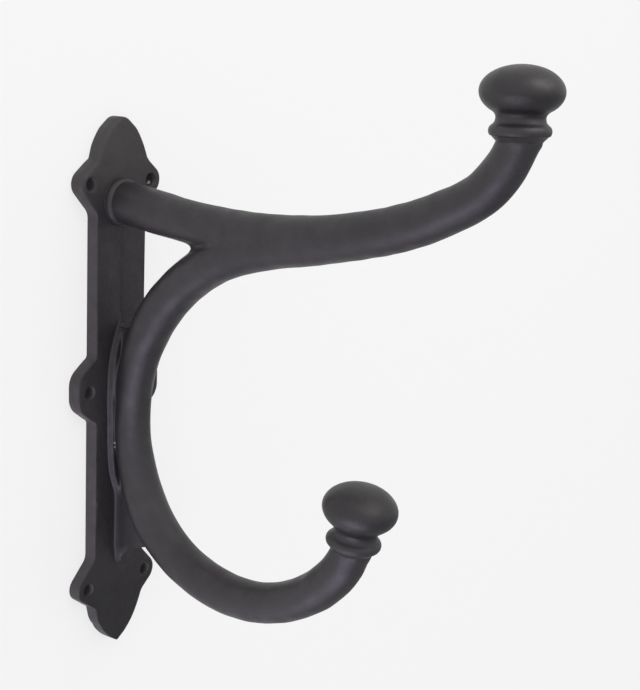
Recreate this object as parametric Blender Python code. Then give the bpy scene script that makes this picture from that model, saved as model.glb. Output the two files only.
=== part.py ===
# Harness hook: a narrow wall plate, a long upper arm, and a lower arm that leaves the
# underside of the upper one, lies along the plate and curls forward. Both arms end in a
# beaded collar and a flattened knob.
# Units are metres. The wall is the plane Y = 0, the hook stands out towards -Y, +Z is up,
# the plate is symmetric about X = 0, and the origin is the middle of the plate's back.

import math

import bmesh
import bpy
from mathutils import Vector

mm = 0.001

# Fits
clearance = 0.3 * mm
spigot_radius = 4.5 * mm
spigot_entry = 6.0 * mm
root_spigot_radius = 7.0 * mm
root_spigot_depth = 4.0 * mm

# Back plate. Holes lie in three rows, and each row's ears are drawn round its holes.
plate_thickness = 7.0 * mm
plate_edge = 1.0 * mm
bar_half_width = 17.3 * mm
bar_fillet = 8.0 * mm
hole_radius = 3.5 * mm
hole_offset = 21.2 * mm
row_height = 106.0 * mm
middle_row_height = 0.5 * mm
ear_radius = 7.1 * mm
ear_upper_slope = math.radians(52)
ear_lower_slope = math.radians(43)
middle_ear_margin = 8.0 * mm
middle_ear_crown = 8.0 * mm
middle_ear_foot = 16.8 * mm
middle_ear_round = 10.0 * mm
middle_ear_fillet = 3.0 * mm
waist_fillet = 1.5 * mm
lobe_radius = 35.5 * mm
top_lobe_rise = 33.9 * mm
top_lobe_round = 6.0 * mm
bottom_lobe_drop = 35.8 * mm
bottom_lobe_round = 0.8 * mm

# Upper arm. Its root is placed from the top row of holes, and every height of the hook, apart
# from the plate's own, is measured from the root. The reach runs from the plate's face to the
# middle of the bead, and the rise from the root up to it. A station is (share of the reach,
# share of the rise, radius).
root_drop = 9.8 * mm
root_height = row_height - root_drop
root_radius = 10.8 * mm
arm_radius = 10.5 * mm
upper_reach = 222.2 * mm
upper_rise = 51.1 * mm
upper_lean = math.radians(-1)
upper_stations = [
    (0.1058, -0.049, root_radius),
    (0.2160, -0.098, arm_radius),
    (0.3375, -0.123, arm_radius),
    (0.4572, -0.121, arm_radius),
    (0.5657, -0.076, arm_radius),
    (0.6661, 0.004, arm_radius),
    (0.7664, 0.127, arm_radius),
    (0.8560, 0.288, 10.0 * mm),
    (0.9330, 0.489, 9.2 * mm),
    (0.9761, 0.704, 8.9 * mm),
    (0.9919, 0.857, 8.8 * mm),
]

# Lower arm, from the fork, where it starts inside the upper arm, down to the foot. A station is
# (distance from the plate's face to the arm's back, depth below the root, radius).
fork_distance = 148.0 * mm
fork_radius = 10.0 * mm
saddle_radius = 9.0 * mm
lower_stations = [
    (81.3 * mm, 12.8 * mm, arm_radius),
    (56.7 * mm, 21.0 * mm, arm_radius),
    (28.3 * mm, 40.1 * mm, arm_radius),
    (13.1 * mm, 58.3 * mm, arm_radius),
    (4.8 * mm, 78.3 * mm, 9.7 * mm),
    (0.8 * mm, 105.2 * mm, saddle_radius),
    (3.0 * mm, 134.2 * mm, 9.6 * mm),
]

# Curl of the lower arm, out to a bead that lies lower_drop below the root. A station is (share
# of the reach, share of the curl's depth below the bead, radius).
lower_reach = 150.6 * mm
lower_drop = 143.1 * mm
lower_lean = math.radians(9.5)
curl_depth = 45.8 * mm
curl_stations = [
    (0.1534, 0.360, arm_radius),
    (0.2716, 0.740, arm_radius),
    (0.4462, 0.969, 10.3 * mm),
    (0.6049, 1.000, 10.0 * mm),
    (0.7537, 0.865, 9.9 * mm),
    (0.8818, 0.609, 10.0 * mm),
    (0.9688, 0.277, 9.7 * mm),
    (0.9874, 0.138, 9.2 * mm),
]

# Collar and knob, turned about the finial's axis. The neck is shared between them.
upper_knob_rise = 10.7 * mm
lower_knob_rise = 11.9 * mm
flare_radius = 10.4 * mm
bead_radius = 13.1 * mm
bead_half_height = 3.0 * mm
bead_foot = math.radians(-75)
bead_top = math.radians(60)
neck_radius = 10.35 * mm
neck_rise = 2.1 * mm
knob_radius = 17.8 * mm
knob_half_height = 11.1 * mm
knob_foot = math.radians(-42)

# Collar at the root of the upper arm
root_collar_width = 1.7 * mm
root_collar_height = 2.6 * mm
root_collar_edge = 1.1 * mm

# Foot between the plate and the lower arm, with a tenon that is let into the plate. Its lengths
# follow each other down from its top, which is foot_top below the root.
foot_height = 2.8 * mm
foot_edge = 0.9 * mm
foot_lip = 0.4 * mm
foot_top = 61.9 * mm
foot_crown_length = 5.8 * mm
foot_crown = 5.0 * mm
foot_shoulder_length = 32.5 * mm
foot_wide_length = 38.0 * mm
foot_waist_length = 18.0 * mm
foot_neck_length = 28.0 * mm
foot_neck = 2.9 * mm
foot_tip_length = 10.0 * mm
foot_tip_round = 1.2 * mm
foot_corner_round = 4.0 * mm
foot_waist_round = 8.0 * mm
foot_shoulder_round = 35.0 * mm
tenon_inset = 3.9 * mm
tenon_depth = 3.0 * mm

# Web that stands on the foot and carries the lower arm
web_half_width = 2.2 * mm
web_top_inset = 2.3 * mm
web_top_slope = math.radians(25)
web_bottom_inset = 9.0 * mm
web_bottom_slope = math.radians(20)
web_heel = 4.0 * mm
web_fillet = 5.0 * mm

# Finishes: how light the black is, and its roughness
plate_finish = (0.03, 0.5)
arm_finish = (0.035, 0.42)
knob_finish = (0.04, 0.4)

# Fineness of the solids
arc_step = math.radians(15)
lobe_steps = 5
path_steps = 3
tube_sides = 20
turn_steps = 28
neck_steps = 3
knob_steps = 10
collar_edge_steps = 3
hole_sides = 20


def between(a, b, share):
    return a + (b - a) * share


def on_circle(centre, spoke, angle):
    cos, sin = math.cos(angle), math.sin(angle)
    return centre + Vector((spoke.x * cos - spoke.y * sin, spoke.x * sin + spoke.y * cos))


def corner_arc(before, corner, after, radius):
    """Points that round one corner of an outline, at most half way along its sides."""
    to_before = before - corner
    to_after = after - corner
    half = to_before.angle(to_after) / 2
    reach = min(radius / math.tan(half), to_before.length / 2, to_after.length / 2)
    radius = reach * math.tan(half)
    middle = (to_before.normalized() + to_after.normalized()).normalized()
    centre = corner + middle * (radius / math.sin(half))
    start = corner + to_before.normalized() * reach - centre
    end = corner + to_after.normalized() * reach - centre
    turn = -start.angle_signed(end)
    count = max(1, math.ceil(abs(turn) / arc_step))
    return [on_circle(centre, start, turn * i / count) for i in range(count + 1)]


def rounded(corners):
    """A closed outline from (point, radius) corners."""
    outline = []
    for i, (corner, radius) in enumerate(corners):
        if radius:
            before, after = corners[i - 1][0], corners[(i + 1) % len(corners)][0]
            outline += corner_arc(before, corner, after, radius)
        else:
            outline.append(corner)
    return outline


def lobe_arc(start, end):
    """Points strictly between start and end, on an arc that bulges to the right of the way there."""
    chord = end - start
    rise = math.sqrt(lobe_radius**2 - (chord.length / 2) ** 2)
    centre = (start + end) / 2 + Vector((-chord.y, chord.x)).normalized() * rise
    spoke = start - centre
    turn = -spoke.angle_signed(end - centre)
    return [on_circle(centre, spoke, turn * i / lobe_steps) for i in range(1, lobe_steps)]


def mirrored(right_side):
    """The whole outline from its right side, listed from the bottom tip to the top tip."""
    left_side = [(Vector((-p.x, p.y)), radius) for p, radius in reversed(right_side[1:-1])]
    return right_side + left_side


def ear_corners():
    """Corners of the top right ear: its foot on the bar, its tip, and the waist under the lobe."""
    hole = Vector((hole_offset, row_height))
    upper = Vector((math.cos(ear_upper_slope), math.sin(ear_upper_slope)))
    lower = Vector((math.cos(ear_lower_slope), -math.sin(ear_lower_slope)))
    upper_reach = upper.dot(hole) + ear_radius
    lower_reach = lower.dot(hole) + ear_radius
    across = upper.x * lower.y - upper.y * lower.x
    tip = Vector((
        (upper_reach * lower.y - lower_reach * upper.y) / across,
        (upper.x * lower_reach - lower.x * upper_reach) / across,
    ))
    foot = Vector((bar_half_width, (lower_reach - lower.x * bar_half_width) / lower.y))
    waist = Vector((bar_half_width, (upper_reach - upper.x * bar_half_width) / upper.y))
    return [(foot, bar_fillet), (tip, ear_radius), (waist, waist_fillet)]


def plate_outline():
    top_ear = ear_corners()
    bottom_ear = [(Vector((p.x, -p.y)), radius) for p, radius in reversed(top_ear)]
    top_tip = Vector((0, row_height + top_lobe_rise))
    bottom_tip = Vector((0, -row_height - bottom_lobe_drop))
    # The arc's last point is left out, which makes room for the rounding of the blunt top.
    top_lobe = [(p, 0) for p in lobe_arc(top_ear[-1][0], top_tip)[:-1]]
    bottom_lobe = [(p, 0) for p in lobe_arc(bottom_tip, bottom_ear[0][0])]
    middle_ear_reach = hole_offset + middle_ear_margin
    middle_ear = [
        (Vector((bar_half_width, middle_row_height - middle_ear_foot)), middle_ear_fillet),
        (Vector((middle_ear_reach, middle_row_height - middle_ear_crown)), middle_ear_round),
        (Vector((middle_ear_reach, middle_row_height + middle_ear_crown)), middle_ear_round),
        (Vector((bar_half_width, middle_row_height + middle_ear_foot)), middle_ear_fillet),
    ]
    side = [(bottom_tip, bottom_lobe_round)] + bottom_lobe + bottom_ear + middle_ear
    return rounded(mirrored(side + top_ear + top_lobe + [(top_tip, top_lobe_round)]))


def foot_levels():
    """Heights of the foot's corners, from its top to its bottom tip."""
    levels = [root_height - foot_top]
    for length in (
        foot_crown_length, foot_shoulder_length, foot_wide_length,
        foot_waist_length, foot_neck_length, foot_tip_length,
    ):
        levels.append(levels[-1] - length)
    return levels


def foot_outline():
    half_width = saddle_radius + foot_lip
    top, crown, wide_top, wide_bottom, neck_top, neck_bottom, bottom = foot_levels()
    side = [
        (Vector((0, bottom)), foot_tip_round),
        (Vector((foot_neck, neck_bottom)), foot_corner_round),
        (Vector((foot_neck, neck_top)), foot_corner_round),
        (Vector((half_width, wide_bottom)), foot_waist_round),
        (Vector((half_width, wide_top)), foot_shoulder_round),
        (Vector((foot_crown, crown)), foot_corner_round),
        (Vector((0, top)), foot_corner_round),
    ]
    return rounded(mirrored(side))


def tenon_outline(extra=0.0):
    """A slot shape inside the wide part of the foot, grown by extra all round."""
    half_width = saddle_radius + foot_lip - tenon_inset + extra
    _, _, wide_top, wide_bottom, *_ = foot_levels()
    low = wide_bottom + tenon_inset - extra
    high = wide_top - tenon_inset + extra
    corners = [(half_width, low), (half_width, high), (-half_width, high), (-half_width, low)]
    return rounded([(Vector(corner), half_width) for corner in corners])


def new_object(name, bm, material=None, origin=(0, 0, 0)):
    bmesh.ops.recalc_face_normals(bm, faces=bm.faces)
    if bm.calc_volume(signed=True) < 0:
        bmesh.ops.reverse_faces(bm, faces=bm.faces)
    bmesh.ops.translate(bm, verts=bm.verts, vec=-Vector(origin))
    mesh = bpy.data.meshes.new(name)
    bm.to_mesh(mesh)
    bm.free()
    obj = bpy.data.objects.new(name, mesh)
    obj.location = origin
    bpy.context.scene.collection.objects.link(obj)
    if material:
        mesh.materials.append(material)
    return obj


def extruded(name, points, way, edge=0.0, material=None):
    """A face through points, extruded along way, with the edge of its far side eased."""
    bm = bmesh.new()
    face = bm.faces.new([bm.verts.new(point) for point in points])
    raised = bmesh.ops.extrude_face_region(bm, geom=[face])["geom"]
    verts = [item for item in raised if isinstance(item, bmesh.types.BMVert)]
    bmesh.ops.translate(bm, verts=verts, vec=way)
    if edge:
        rim = [e for e in bm.edges if all(v in verts for v in e.verts)]
        bmesh.ops.bevel(bm, geom=rim, offset=edge, segments=2, profile=0.5, affect="EDGES")
    return new_object(name, bm, material)


def slab(name, outline, back, front, edge=0.0, material=None):
    """An outline in X and Z, from one Y to another, with its front edge eased."""
    points = [(p.x, back, p.y) for p in outline]
    return extruded(name, points, (0, front - back, 0), edge, material)


def plank(name, outline, half_width):
    """An outline in Y and Z, half_width to each side of the middle plane."""
    points = [(-half_width, p.x, p.y) for p in outline]
    return extruded(name, points, (2 * half_width, 0, 0))


def tube(name, rings, material=None, origin=(0, 0, 0)):
    """A round bar through (centre, direction, radius) rings in the middle plane, capped at both ends."""
    bm = bmesh.new()
    across = Vector((1, 0, 0))
    loops = []
    for centre, direction, radius in rings:
        up = direction.cross(across).normalized()
        angles = [2 * math.pi * i / tube_sides for i in range(tube_sides)]
        spokes = [across * math.cos(a) + up * math.sin(a) for a in angles]
        loops.append([bm.verts.new(centre + spoke * radius) for spoke in spokes])
    for near, far in zip(loops, loops[1:]):
        for i in range(tube_sides):
            bm.faces.new((near[i - 1], near[i], far[i], far[i - 1]))
    bm.faces.new(loops[0])
    bm.faces.new(loops[-1])
    return new_object(name, bm, material, origin)


def turned(name, profile, material=None):
    """A profile of (radius, height) points, both ends on the axis, turned about Z."""
    bm = bmesh.new()
    verts = [bm.verts.new((radius, 0, height)) for radius, height in profile]
    edges = [bm.edges.new(pair) for pair in zip(verts, verts[1:])]
    bmesh.ops.spin(
        bm, geom=verts + edges, cent=(0, 0, 0), axis=(0, 0, 1),
        angle=2 * math.pi, steps=turn_steps, use_merge=True,
    )
    bmesh.ops.remove_doubles(bm, verts=bm.verts, dist=mm / 1000)
    return new_object(name, bm, material)


def combine(obj, other, operation="DIFFERENCE"):
    modifier = obj.modifiers.new(other.name, "BOOLEAN")
    modifier.operation = operation
    modifier.object = other
    other.hide_render = True
    other.display_type = "WIRE"


def black_iron(name, grey, roughness):
    material = bpy.data.materials.new(name)
    material.use_nodes = True
    shader = material.node_tree.nodes["Principled BSDF"]
    shader.inputs["Base Color"].default_value = (grey, grey, grey, 1)
    shader.inputs["Roughness"].default_value = roughness
    shader.inputs["Metallic"].default_value = 0.0
    return material


def at(distance, height):
    """A point of the middle plane, from its distance out from the plate's face."""
    return Vector((0, -plate_thickness - distance, height))


def smooth_rings(stations, lead_in, lead_out):
    """Rings along a smooth curve through (point, radius) stations, with its end directions given."""
    points = [point for point, _ in stations]
    lengths = [(b - a).length for a, b in zip(points, points[1:])]
    slopes = [(b - a) / length for a, b, length in zip(points, points[1:], lengths)]
    tangents = [lead_in]
    for i in range(1, len(slopes)):
        share = lengths[i - 1] / (lengths[i - 1] + lengths[i])
        tangents.append(between(slopes[i - 1], slopes[i], share))
    tangents.append(lead_out)
    rings = []
    for i, length in enumerate(lengths):
        (start, wide), (end, narrow) = stations[i], stations[i + 1]
        for step in range(path_steps):
            t = step / path_steps
            ease = t * t * (3 - 2 * t)
            bend = tangents[i] * (t * (1 - t) ** 2) - tangents[i + 1] * (t * t * (1 - t))
            way = slopes[i] * (6 * t * (1 - t)) + tangents[i] * ((1 - t) * (1 - 3 * t))
            way += tangents[i + 1] * (t * (3 * t - 2))
            centre = between(start, end, ease) + bend * length
            rings.append((centre, way.normalized(), between(wide, narrow, t)))
    return rings + [(points[-1], lead_out, stations[-1][1])]


def grown(rings, extra):
    return [(centre, direction, radius + extra) for centre, direction, radius in rings]


def finial_axis(lean):
    return Vector((0, -math.sin(lean), math.cos(lean)))


def finial_seat(bead, lean):
    """The middle of an arm's end face, under the collar."""
    return bead - finial_axis(lean) * (bead_half_height + clearance)


def finial_spigot(bead, lean):
    """Rings of the spigot that holds the collar and the knob on the end of an arm."""
    axis = finial_axis(lean)
    end = bead + axis * (neck_height() + clearance + spigot_entry)
    return [(finial_seat(bead, lean), axis, spigot_radius), (end, axis, spigot_radius)]


def neck_height():
    return bead_half_height + neck_rise


def upper_bead_centre():
    return at(upper_reach, root_height + upper_rise)


def lower_bead_centre():
    return at(lower_reach, root_height - lower_drop)


def upper_rings():
    stations = [(at(clearance, root_height), root_radius)]
    for out, up, radius in upper_stations:
        stations.append((at(out * upper_reach, root_height + up * upper_rise), radius))
    stations.append((finial_seat(upper_bead_centre(), upper_lean), flare_radius))
    return smooth_rings(stations, Vector((0, -1, 0)), finial_axis(upper_lean))


def fork_point(upper):
    """The point on the upper arm's middle line at the fork's distance from the plate."""
    fork = at(fork_distance, root_height)
    for (near, _, _), (far, _, _) in zip(upper, upper[1:]):
        if far.y <= fork.y:
            return between(near, far, (fork.y - near.y) / (far.y - near.y))
    return upper[-1][0]


def lower_rings(upper):
    stations = [(fork_point(upper), fork_radius)]
    for gap, depth, radius in lower_stations:
        stations.append((at(gap + radius, root_height - depth), radius))
    for out, down, radius in curl_stations:
        depth = lower_drop + down * curl_depth
        stations.append((at(out * lower_reach, root_height - depth), radius))
    stations.append((finial_seat(lower_bead_centre(), lower_lean), flare_radius))
    lead_in = (stations[1][0] - stations[0][0]).normalized()
    return smooth_rings(stations, lead_in, finial_axis(lower_lean))


def root_rings(extra=0.0):
    """Rings of the spigot that holds the upper arm in the plate, or of its socket."""
    out = Vector((0, -1, 0))
    deep = at(-root_spigot_depth - extra, root_height)
    seat = at(clearance + extra, root_height)
    return [(deep, out, root_spigot_radius + extra), (seat, out, root_spigot_radius + extra)]


def make_plate(material):
    plate = slab("back_plate", plate_outline(), 0, -plate_thickness, plate_edge, material)
    rows = [("top", row_height), ("middle", middle_row_height), ("bottom", -row_height)]
    for row, height in rows:
        for side, x in (("left", -hole_offset), ("right", hole_offset)):
            bm = bmesh.new()
            bmesh.ops.create_cone(
                bm, cap_ends=True, segments=hole_sides, radius1=hole_radius,
                radius2=hole_radius, depth=3 * plate_thickness,
            )
            drill = new_object(f"drill_{row}_{side}", bm)
            drill.rotation_euler.x = math.pi / 2
            drill.location = (x, -plate_thickness / 2, height)
            combine(plate, drill)
    combine(plate, tube("root_socket", root_rings(clearance)))
    mortise_floor = -plate_thickness + tenon_depth + clearance
    combine(plate, slab("mortise", tenon_outline(clearance), mortise_floor, -2 * plate_thickness))
    return plate


def web_outline(lower):
    """The web's side view in Y and Z. Its front edge runs along the middle of the lower arm."""
    face = -plate_thickness - clearance - foot_height
    back = face + foot_height / 2
    foot_tip, *_, foot_end = foot_levels()
    top = foot_tip - web_top_inset
    bottom = foot_end + web_bottom_inset
    inside = []
    for centre, _, _ in lower:
        if centre.z < bottom - centre.y * math.tan(web_bottom_slope):
            break
        if centre.z < foot_tip:
            inside.append(Vector((centre.y, centre.z)))
    first, last = inside[0].x, inside[-1].x
    return rounded([
        (Vector((back, top)), 0),
        (Vector((first, top + (back - first) * math.tan(web_top_slope))), 0),
        *[(point, 0) for point in inside],
        (Vector((last, bottom + (face - last) * math.tan(web_bottom_slope))), 0),
        (Vector((face, bottom)), web_fillet),
        (Vector((back, bottom - web_heel)), 0),
    ])


def make_web(lower, lower_cutter, material):
    back = -plate_thickness - clearance
    web = slab("arm_web", foot_outline(), back, back - foot_height, foot_edge, material)
    tenon_end = -plate_thickness + tenon_depth
    tenon = slab("tenon", tenon_outline(), tenon_end, back - foot_height / 2)
    combine(web, tenon, "UNION")
    combine(web, plank("web_plank", web_outline(lower), web_half_width), "UNION")
    combine(web, lower_cutter)
    return web


def make_root_collar(upper_cutter, material):
    radius = root_radius + root_collar_width
    profile = [(0, 0), (radius, 0)]
    for i in range(collar_edge_steps + 1):
        angle = math.pi / 2 * i / collar_edge_steps
        inset = root_collar_edge * (1 - math.cos(angle))
        drop = root_collar_edge * (1 - math.sin(angle))
        profile.append((radius - inset, root_collar_height - drop))
    collar = turned("root_collar", profile + [(0, root_collar_height)], material)
    collar.rotation_euler.x = math.pi / 2
    collar.location = at(clearance, root_height)
    combine(collar, upper_cutter)
    return collar


def on_oval(centre_radius, centre_height, across, up, angle):
    return (centre_radius + across * math.cos(angle), centre_height + up * math.sin(angle))


def neck_curve(far):
    """Points from the neck's waist out to far, a (radius, height), growing faster and faster."""
    points = []
    for i in range(1, neck_steps):
        share = i / neck_steps
        points.append((between(neck_radius, far[0], share**2), between(neck_height(), far[1], share)))
    return points


def place_turned(obj, bead, lean, bore):
    obj.location = bead
    obj.rotation_euler.x = lean
    combine(obj, bore)
    return obj


def make_collar(name, bead, lean, bore, material):
    """The bead and the lower half of the neck."""
    ring = bead_radius - bead_half_height
    profile = [(0, -bead_half_height), (ring, -bead_half_height)]
    steps = round((bead_top - bead_foot) / arc_step)
    for i in range(steps + 1):
        angle = between(bead_foot, bead_top, i / steps)
        profile.append(on_oval(ring, 0, bead_half_height, bead_half_height, angle))
    profile += neck_curve(profile[-1])[::-1]
    profile += [(neck_radius, neck_height()), (0, neck_height())]
    return place_turned(turned(name, profile, material), bead, lean, bore)


def make_knob(name, bead, lean, rise, bore, material):
    """The upper half of the neck and the flattened knob, whose middle is rise above the neck."""
    start = neck_height() + clearance
    middle = neck_height() + rise
    profile = [(0, start), (neck_radius, start)]
    profile += neck_curve(on_oval(0, middle, knob_radius, knob_half_height, knob_foot))
    for i in range(knob_steps):
        angle = between(knob_foot, math.pi / 2, i / knob_steps)
        profile.append(on_oval(0, middle, knob_radius, knob_half_height, angle))
    profile.append((0, middle + knob_half_height))
    return place_turned(turned(name, profile, material), bead, lean, bore)


def make_finial(side, bead, lean, knob_rise, collar_material, knob_material):
    """A collar and a knob, both bored for the arm's spigot."""
    (seat, axis, _), (end, _, _) = finial_spigot(bead, lean)
    rings = [(seat - axis * clearance, axis, spigot_radius), (end + axis * clearance, axis, spigot_radius)]
    bore = tube(f"{side}_bore", grown(rings, clearance))
    return [
        make_collar(f"{side}_collar", bead, lean, bore, collar_material),
        make_knob(f"{side}_knob", bead, lean, knob_rise, bore, knob_material),
    ]


def build():
    for obj in list(bpy.data.objects):
        bpy.data.objects.remove(obj)
    plate_iron = black_iron("black_plate", *plate_finish)
    arm_iron = black_iron("black_arms", *arm_finish)
    knob_iron = black_iron("black_knobs", *knob_finish)

    upper = upper_rings()
    lower = lower_rings(upper)
    root, out, _ = upper[0]
    behind = [(root - out * plate_thickness, out, root_radius)]
    upper_cutter = tube("upper_arm_room", grown(behind + upper, clearance))
    lower_cutter = tube("lower_arm_room", grown(lower, clearance))

    upper_spigot = finial_spigot(upper_bead_centre(), upper_lean)
    lower_spigot = finial_spigot(lower_bead_centre(), lower_lean)
    upper_arm = tube("upper_arm", root_rings() + upper + upper_spigot, arm_iron, root)
    lower_arm = tube("lower_arm", lower + lower_spigot, arm_iron, lower[0][0])
    combine(lower_arm, upper_cutter)

    pieces = [make_plate(plate_iron), upper_arm, lower_arm]
    pieces.append(make_web(lower, lower_cutter, plate_iron))
    pieces.append(make_root_collar(upper_cutter, plate_iron))
    for side, bead, lean, rise in (
        ("upper", upper_bead_centre(), upper_lean, upper_knob_rise),
        ("lower", lower_bead_centre(), lower_lean, lower_knob_rise),
    ):
        pieces += make_finial(side, bead, lean, rise, arm_iron, knob_iron)

    hook = bpy.data.objects.new("harness_hook", None)
    bpy.context.scene.collection.objects.link(hook)
    for piece in pieces:
        piece.parent = hook
        piece.data.shade_smooth()
        piece.data.set_sharp_from_angle(angle=math.radians(35))


build()
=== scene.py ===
# Black cast-iron harness hook on a white wall, dressed over its CAD frame.
# Shapes are given in millimetres and made in metres. The wall is Y = 0, the hook stands out
# towards -Y, +Z is up, and X = 0 is its middle plane.

import math

import bmesh
import bpy
import numpy as np
from mathutils import Matrix, Vector, geometry


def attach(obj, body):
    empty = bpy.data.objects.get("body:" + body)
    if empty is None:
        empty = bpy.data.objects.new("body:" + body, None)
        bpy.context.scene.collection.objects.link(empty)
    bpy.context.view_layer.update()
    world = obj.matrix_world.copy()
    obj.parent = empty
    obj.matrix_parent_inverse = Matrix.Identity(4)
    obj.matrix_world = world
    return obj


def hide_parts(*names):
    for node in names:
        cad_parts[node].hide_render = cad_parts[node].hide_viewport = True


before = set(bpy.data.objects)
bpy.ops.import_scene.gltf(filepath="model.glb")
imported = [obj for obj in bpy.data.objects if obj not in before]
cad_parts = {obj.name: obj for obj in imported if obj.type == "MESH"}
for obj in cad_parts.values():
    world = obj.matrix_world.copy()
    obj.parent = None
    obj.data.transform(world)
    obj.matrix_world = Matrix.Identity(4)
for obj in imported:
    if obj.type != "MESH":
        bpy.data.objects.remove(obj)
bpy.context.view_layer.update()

mm = 0.001


# Waves that stand for the unevenness of sand-cast iron
casting = {
    "seed": 11,
    "waves": 14,
    "longest": 34.0,
    "shortest": 9.0,
}


def castingWaves():
    random = np.random.default_rng(casting["seed"])
    ways = random.normal(size=(casting["waves"], 3))
    ways /= np.linalg.norm(ways, axis=1)[:, None]
    lengths = np.geomspace(casting["longest"], casting["shortest"], casting["waves"])
    return ways * (2 * math.pi / lengths)[:, None], random.uniform(0, 6.28, casting["waves"])


waveWays, waveStarts = castingWaves()


def uneven(x, y, z):
    # Smooth bumps of about -1 to 1 through space
    total = 0
    for way, start in zip(waveWays, waveStarts):
        total = total + np.sin(x * way[0] + y * way[1] + z * way[2] + start)
    return total / math.sqrt(2 * casting["waves"])


# Mesh helpers


def finish(obj, material, *nodes, slot):
    # Gives a piece its material and has it stand for its CAD nodes
    obj.data.materials.clear()
    obj.data.materials.append(material)
    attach(obj, "root")
    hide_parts(*nodes)
    print(f"{obj.name}: {len(obj.data.polygons)} faces")


def newObject(name, points, faces, sharpAngle=None):
    mesh = bpy.data.meshes.new(name)
    mesh.from_pydata((np.asarray(points) * mm).tolist(), [], faces)
    mesh.validate()
    obj = bpy.data.objects.new(name, mesh)
    bpy.context.scene.collection.objects.link(obj)
    mesh.shade_smooth()
    if sharpAngle:
        mesh.set_sharp_from_angle(angle=math.radians(sharpAngle))
    return obj


def towards(field, points, moves=4, nudge=0.02, flattest=0.05, furthest=0.6):
    # Moves points on to the surface where the field is zero
    for _ in range(moves):
        x, y, z = points.T
        value = field(x, y, z)
        slope = np.stack([
            field(x + nudge, y, z) - value,
            field(x, y + nudge, z) - value,
            field(x, y, z + nudge) - value,
        ], axis=1) / nudge
        size = np.maximum((slope**2).sum(1), flattest)
        points = points - slope * np.clip(value / size, -furthest, furthest)[:, None]
    return points


def skin(name, field, low, high, step, block=4, reach=5.5):
    # A closed mesh of quads over the surface where field(x, y, z) is zero. The field is found
    # once for each block of steps, and then at every step within reach of the surface.
    low, high = np.array(low, float), np.array(high, float)
    counts = np.ceil((high - low) / step).astype(int) + 1
    counts += (-counts) % block
    lines = [low[i] + step * np.arange(counts[i]) for i in range(3)]
    middles = [line[::block] + (block - 1) / 2 * step for line in lines]
    x, y, z = np.meshgrid(*middles, indexing="ij")
    values = field(x.ravel(), y.ravel(), z.ravel()).reshape(x.shape)
    for axis in range(3):
        values = np.repeat(values, block, axis=axis)
    near = np.abs(values) < reach * step
    x, y, z = np.meshgrid(*lines, indexing="ij")
    values[near] = field(x[near], y[near], z[near])
    inside = values < 0
    cells = counts - 1
    total = np.zeros((*cells, 3))
    hits = np.zeros(cells)
    for axis in range(3):
        others = [i for i in range(3) if i != axis]
        near = [slice(None)] * 3
        far = [slice(None)] * 3
        near[axis], far[axis] = slice(0, -1), slice(1, None)
        near, far = tuple(near), tuple(far)
        crossing = inside[near] != inside[far]
        drop = values[near] - values[far]
        share = np.where(crossing, values[near] / np.where(drop == 0, 1, drop), 0)
        for first in (0, 1):
            for second in (0, 1):
                part = [slice(None)] * 3
                part[others[0]] = slice(first, first + cells[others[0]])
                part[others[1]] = slice(second, second + cells[others[1]])
                part = tuple(part)
                total[..., axis] += share[part]
                total[..., others[0]] += crossing[part] * first
                total[..., others[1]] += crossing[part] * second
                hits += crossing[part]
    used = hits > 0
    numbers = np.full(cells, -1)
    numbers[used] = np.arange(used.sum())
    corner = np.stack(np.nonzero(used), axis=1)
    points = low + (corner + total[used] / hits[used][:, None]) * step
    points = towards(field, points)
    faces = []
    for axis in range(3):
        first, second = (axis + 1) % 3, (axis + 2) % 3
        near = [slice(1, -1)] * 3
        near[axis] = slice(0, -1)
        far = list(near)
        far[axis] = slice(1, None)
        for inward in (True, False):
            here, there = inside[tuple(near)], inside[tuple(far)]
            found = np.nonzero(here & ~there if inward else ~here & there)
            at = np.stack(found, axis=1) + 1
            at[:, axis] -= 1
            around = []
            for a, b in ((-1, -1), (0, -1), (0, 0), (-1, 0)):
                cell = at.copy()
                cell[:, first] += a
                cell[:, second] += b
                around.append(numbers[cell[:, 0], cell[:, 1], cell[:, 2]])
            quads = np.stack(around, axis=1)
            faces.append(quads if inward else quads[:, ::-1])
    return newObject(name, points, np.concatenate(faces).tolist())


def blended(a, b, width):
    # The smaller of two distances, with a fillet of this width where they meet
    share = np.clip(0.5 + 0.5 * (b - a) / width, 0, 1)
    return b + (a - b) * share - width * share * (1 - share)


def rampUp(low, high, value):
    share = np.clip((value - low) / (high - low), 0, 1)
    return share * share * (3 - 2 * share)


def slabField(across, along, rounding):
    # Distance of a form from its distances across and along, with a rounded edge
    across, along = across + rounding, along + rounding
    outside = np.hypot(np.maximum(across, 0), np.maximum(along, 0))
    return outside + np.minimum(np.maximum(across, along), 0) - rounding


def outlineField(outline, x, z):
    # Distance from a closed outline, negative inside
    best = np.full(x.shape, 1e9)
    inside = np.zeros(x.shape, bool)
    for (ax, az), (bx, bz) in zip(outline, np.roll(outline, -1, axis=0)):
        wx, wz = bx - ax, bz - az
        size = wx * wx + wz * wz
        if size == 0:
            continue
        t = np.clip(((x - ax) * wx + (z - az) * wz) / size, 0, 1)
        best = np.minimum(best, np.hypot(x - ax - wx * t, z - az - wz * t))
        if wz:
            inside ^= ((az > z) != (bz > z)) & (x < ax + (z - az) / wz * wx)
    return np.where(inside, -best, best)


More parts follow.
